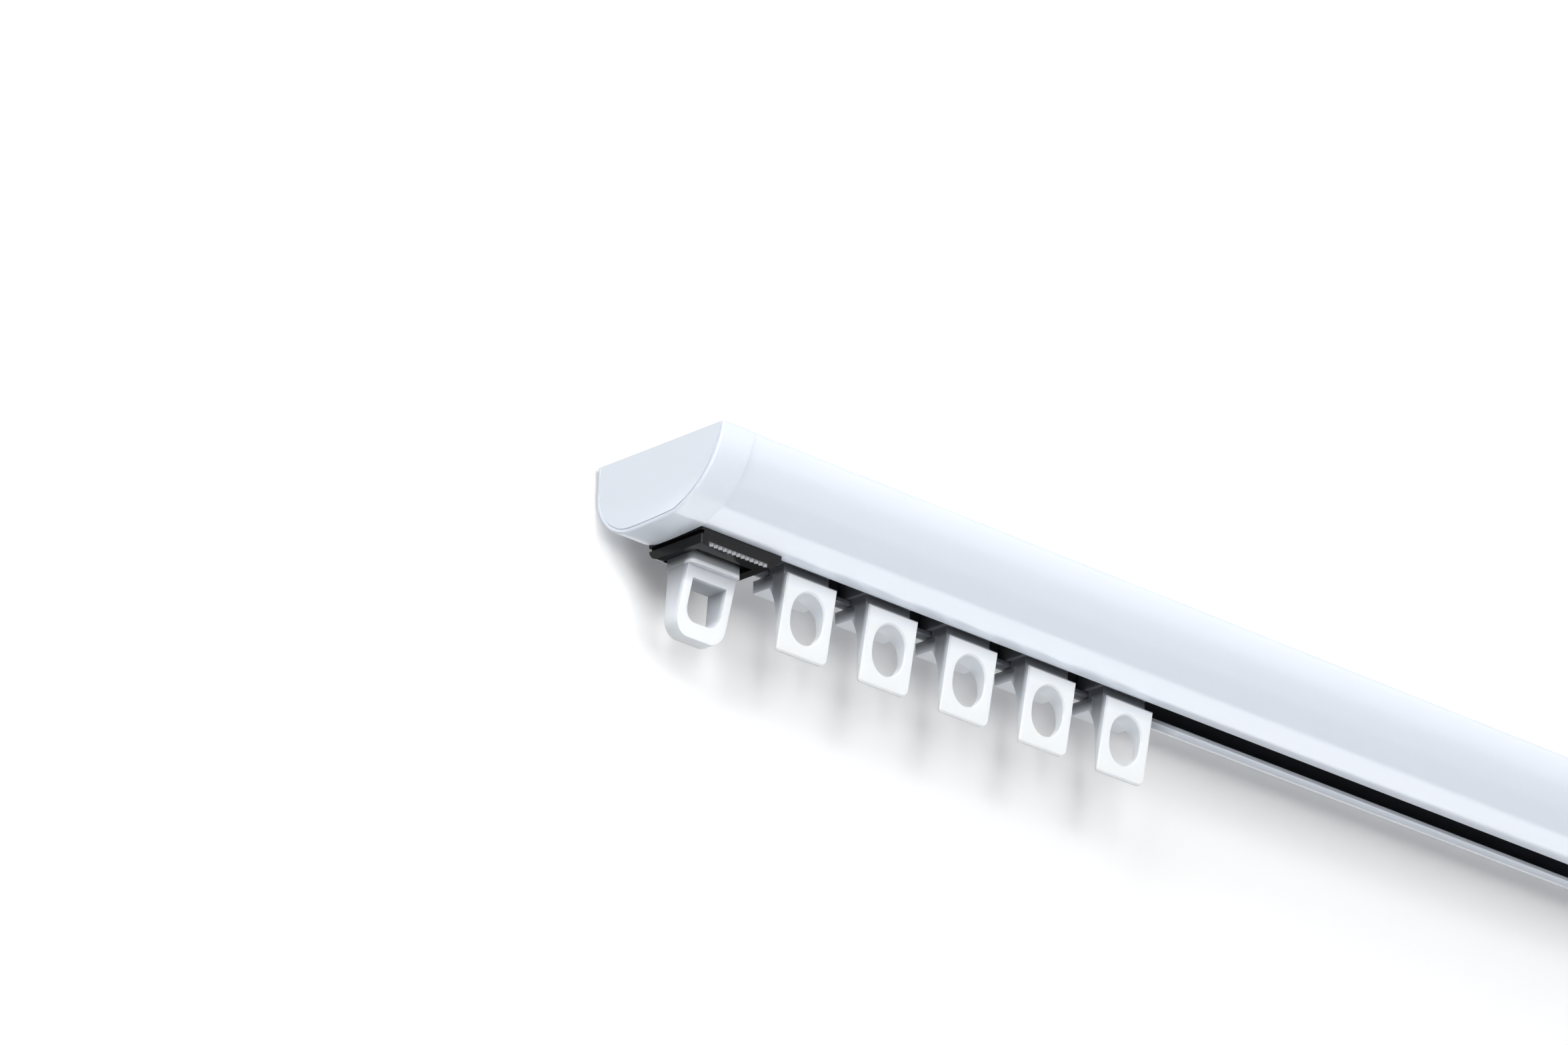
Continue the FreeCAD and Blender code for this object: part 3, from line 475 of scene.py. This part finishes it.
def milky_plastic(name, lean, split, back, front_stops, behind_stops, flanks=None):
    """White plastic that light enters a little way, with a faint moulded grain. Shade is painted on it
    by height, with one set of stops for the front and one for what lies behind, and painted darker
    near the dark slot; split, back and lean give the leaning planes where what lies behind the front
    starts and ends, and flanks (start, pitch, width) keeps its grey to the two side faces."""
    material, tree, surface = new_material(
        name, Roughness=0.3, IOR=1.48, Subsurface_Weight=0.5,
        Subsurface_Radius=(1.2 * MM, 1.4 * MM, 1.8 * MM), Subsurface_Scale=1.0)
    place = add_grain(tree, surface, scale=1400.0, detail=2.0, strength=0.1, depth=0.04)
    parts = add_node(tree, "ShaderNodeSeparateXYZ", Vector=place).outputs

    depth = maths(tree, "MULTIPLY_ADD", parts["Z"], lean, parts["Y"])
    after_split = fade(tree, depth, split, split + shade_fade)
    before_back = fade(tree, depth, back + shade_fade, back)
    behind = maths(tree, "MULTIPLY", after_split, before_back)
    if flanks:
        start, pitch, width = flanks
        along = maths(tree, "MODULO", maths(tree, "SUBTRACT", parts["X"], start * MM), pitch * MM)
        off_middle = maths(tree, "ABSOLUTE", maths(tree, "SUBTRACT", along, width / 2 * MM))
        flank = fade(tree, off_middle, width / 2 - flank_inner, width / 2 - flank_outer)
        behind = maths(tree, "MULTIPLY", behind, flank)
    # Painted shade that changes with height, for the front and for what lies behind.
    front_shade = shade_by_height(tree, parts["Z"], front_stops)
    behind_shade = shade_by_height(tree, parts["Z"], behind_stops)
    white = blend(tree, 1.0, milky_white, blend(tree, behind, front_shade, behind_shade), "MULTIPLY")

    # Painted shade near the dark slot: the neck and shoe inside the track, and whatever lies close behind the
    # slot.
    inside = fade(tree, parts["Z"], *inside_track)
    close = maths(tree, "MULTIPLY", fade(tree, parts["Z"], *under_slot), fade(tree, parts["Y"], *behind_slot))
    slot_shade = maths(tree, "MAXIMUM", inside, close)
    tree.links.new(blend(tree, slot_shade, white, slot_shade_grey), surface.inputs["Base Color"])
    return material


# On the eye's front, painted shade under the stop and under the ledge, with a painted highlight along the
# ledge's lower edge; behind it, painted shade darker towards the top.
eye_plastic = milky_plastic(
    "eye_plastic", lean=0.276, split=-1.5, back=9.0,
    front_stops=[
        (-26.6, 1.0), (-18.9, 1.0), (-17.6, 0.72), (-16.15, 0.55), (-16.05, 1.0),
        (-15.7, 1.0), (-15.4, 0.5), (-14.6, 0.35), (-14.0, 0.1),
    ],
    behind_stops=[(-26.6, 1.0), (-23.0, 0.95), (-20.0, 0.75), (-17.0, 0.5), (-14.0, 0.22)],
)
eye = new_piece("eye", moulding("fixed_eye"), "track", ["fixed_eye"], eye_plastic)
round_off(eye, width=0.3, segments=4)


# Gliders
# Five equal white mouldings: a shoe on the lips, a neck in the slot, a leaning plate with an
# oval hole for a curtain hook, and a heel behind it that runs down the plate in a hollow curve.

# The first glider's left side on the frame's X, and how far apart and how wide the gliders are.
glider_start = -272.8
glider_pitch = 17.8
glider_width = 10.7

# On the gliders, painted shade: the top of the plate a little darker, and the sides and heel darker towards
# the track.
glider_plastic = milky_plastic(
    "glider_plastic", lean=0.1885, split=-2.2, back=0.2,
    front_stops=[(-25.1, 1.0), (-15.0, 1.0), (-12.9, 0.82)],
    behind_stops=[(-25.1, 1.0), (-21.0, 0.92), (-17.0, 0.62), (-14.0, 0.42)],
    flanks=(glider_start, glider_pitch, glider_width),
)
glider_names = sorted(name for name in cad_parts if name.startswith("glider_"))
for node in glider_names:
    runner = node.replace("glider", "runner")
    glider = new_piece(runner, moulding(node), node, [node], glider_plastic)
    round_off(glider, width=0.22, segments=3)


# Studio
# A pale wall just behind the track takes the soft shadow, and a floor lies far below; both show
# from one side only. Six soft lamps light the part. The white world lights nothing, but the
# camera and reflections see it.

wall_gap = 14.6 * MM
wall_half = 4000 * MM
floor_height = -1200 * MM
floor_half = 6000 * MM


def plane(name, centre, across, up, material):
    """A flat rectangle about a centre, spanned by two half sides."""
    centre, across, up = Vector(centre), Vector(across), Vector(up)
    corners = [centre - across - up, centre + across - up, centre + across + up, centre - across + up]
    mesh = bpy.data.meshes.new(name)
    mesh.from_pydata([tuple(c) for c in corners], [], [(0, 1, 2, 3)])
    mesh.materials.append(material)
    item = bpy.data.objects.new(name, mesh)
    scene.collection.objects.link(item)


def backdrop_material(name, colour, glow, light_passes):
    """A pale surface that shows from its front only, with a glow that only the camera sees. Where
    light_passes is set, only the camera meets it, and light goes through it."""
    material = bpy.data.materials.new(name)
    material.use_nodes = True
    tree = material.node_tree
    tree.nodes.clear()
    rays = add_node(tree, "ShaderNodeLightPath").outputs
    seen = maths(tree, "MULTIPLY", glow, rays["Is Camera Ray"])
    paint = add_node(tree, "ShaderNodeBsdfDiffuse", Color=(*colour, 1)).outputs[0]
    shine = add_node(tree, "ShaderNodeEmission", Color=(1, 1, 1, 1), Strength=seen).outputs[0]
    front = add_node(tree, "ShaderNodeAddShader", i0=paint, i1=shine).outputs[0]
    clear = add_node(tree, "ShaderNodeBsdfTransparent").outputs[0]
    behind = add_node(tree, "ShaderNodeNewGeometry").outputs["Backfacing"]
    shown = maths(tree, "SUBTRACT", 1.0, behind)
    if light_passes:
        shown = maths(tree, "MULTIPLY", shown, rays["Is Camera Ray"])
    mixed = add_node(tree, "ShaderNodeMixShader", i0=shown, i1=clear, i2=front).outputs[0]
    add_node(tree, "ShaderNodeOutputMaterial", Surface=mixed)
    return material


wall_paint = backdrop_material("wall_paint", (1.0, 1.0, 1.0), glow=0.06, light_passes=True)
plane("wall", (0, wall_gap, 0), (wall_half, 0, 0), (0, 0, wall_half), wall_paint)
floor_paint = backdrop_material("floor_paint", (0.85, 0.86, 0.88), glow=0.62, light_passes=False)
plane("floor", (0, 0, floor_height), (floor_half, 0, 0), (0, floor_half, 0), floor_paint)

# Each lamp: azimuth and elevation as seen from the track (azimuth 0 is in front, positive to the
# right), its distance and side in metres, and its power in watts.
lamps = {
    "key": (-65, 25, 2.0, 1.2, 32.0),
    "front": (-14, 6, 2.0, 1.6, 27.5),
    "low_back": (180, -60, 1.1, 0.9, 2.0),
    "low_card": (105, -50, 1.2, 0.6, 3.3),
    "right_card": (40, -5, 2.0, 0.8, 4.5),
    "back": (175, 50, 2.4, 1.6, 8.0),
}
lit_point = Vector((-200, 0, 0)) * MM
for name, (azimuth, elevation, distance, side, power) in lamps.items():
    turn, rise = math.radians(azimuth), math.radians(elevation)
    away = Vector((math.sin(turn) * math.cos(rise), -math.cos(turn) * math.cos(rise), math.sin(rise)))
    data = bpy.data.lights.new(name, "AREA")
    data.size = side
    data.energy = power
    lamp = bpy.data.objects.new(name, data)
    lamp.location = lit_point + away * distance
    lamp.rotation_euler = away.to_track_quat("Z", "Y").to_euler()
    lamp.visible_camera = False
    scene.collection.objects.link(lamp)

world = bpy.data.worlds.new("studio")
scene.world = world
world.use_nodes = True
tree = world.node_tree
tree.nodes.clear()
rays = add_node(tree, "ShaderNodeLightPath").outputs
seen = maths(tree, "ADD", rays["Is Camera Ray"], rays["Is Transmission Ray"])
seen = maths(tree, "ADD", seen, rays["Is Glossy Ray"])
dark = add_node(tree, "ShaderNodeBackground", Strength=0.0).outputs[0]
white = add_node(tree, "ShaderNodeBackground", Color=(1, 1, 1, 1), Strength=1.0).outputs[0]
mixed = add_node(tree, "ShaderNodeMixShader", i0=seen, i1=dark, i2=white).outputs[0]
add_node(tree, "ShaderNodeOutputWorld", Surface=mixed)

scene.view_settings.view_transform = "Standard"
